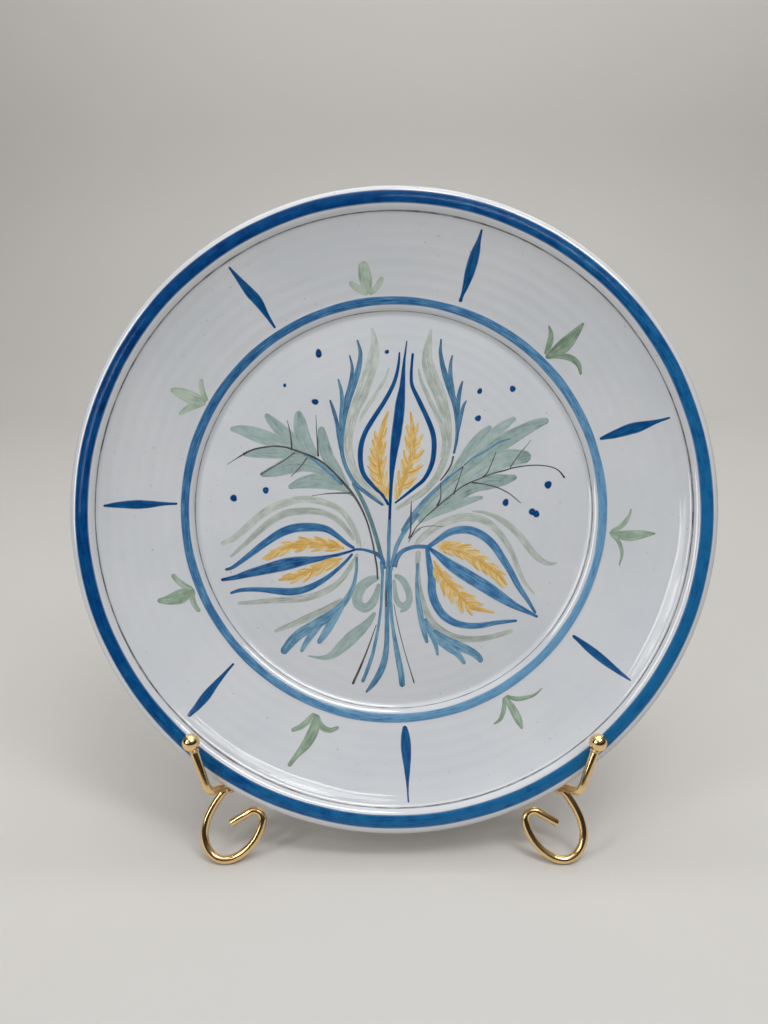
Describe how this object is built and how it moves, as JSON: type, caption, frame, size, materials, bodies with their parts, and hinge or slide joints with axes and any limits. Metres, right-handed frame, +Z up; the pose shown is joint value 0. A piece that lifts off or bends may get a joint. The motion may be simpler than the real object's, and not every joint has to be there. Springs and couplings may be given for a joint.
{
  "type": "ceramic plate on a wire easel",
  "caption": "Round glazed plate with a hand painted flower spray and blue rings, leaning in a gold wire easel with scroll feet and a folding rear leg.",
  "frame": {"origin": "on the table under the middle of the whole object's box", "axes": "+Z up; the painted face of the plate looks towards -Y and leans back 19 degrees; +X is to the right of someone facing the plate"},
  "size_m": [0.3, 0.1574, 0.2989],
  "materials": {
    "glaze": "glossy tin glaze, off-white, with painted decoration",
    "gold_wire": "polished gold plating"
  },
  "bodies": {
    "easel": {"left_side_wire": "gold_wire", "right_side_wire": "gold_wire", "left_prong_ball": "gold_wire", "right_prong_ball": "gold_wire", "left_foot_scroll": "gold_wire", "right_foot_scroll": "gold_wire", "lower_cross_bar": "gold_wire", "hinge_bar": "gold_wire", "stop_bar": "gold_wire"},
    "plate": {"plate": "glaze"},
    "rear_leg": {"rear_leg": "gold_wire", "left_hinge_sleeve": "gold_wire", "right_hinge_sleeve": "gold_wire"}
  },
  "joints": [
    {"name": "plate_lift", "type": "slide", "parent": "easel", "child": "plate", "axis": [0, 0.3256, 0.9455], "range_m": [0, 0.23]},
    {"name": "rear_leg_fold", "type": "hinge", "parent": "easel", "child": "rear_leg", "pos_m": [0, 0.0117, 0.16529], "axis": [-1, 0, 0], "range_deg": [0, 39]}
  ]
}
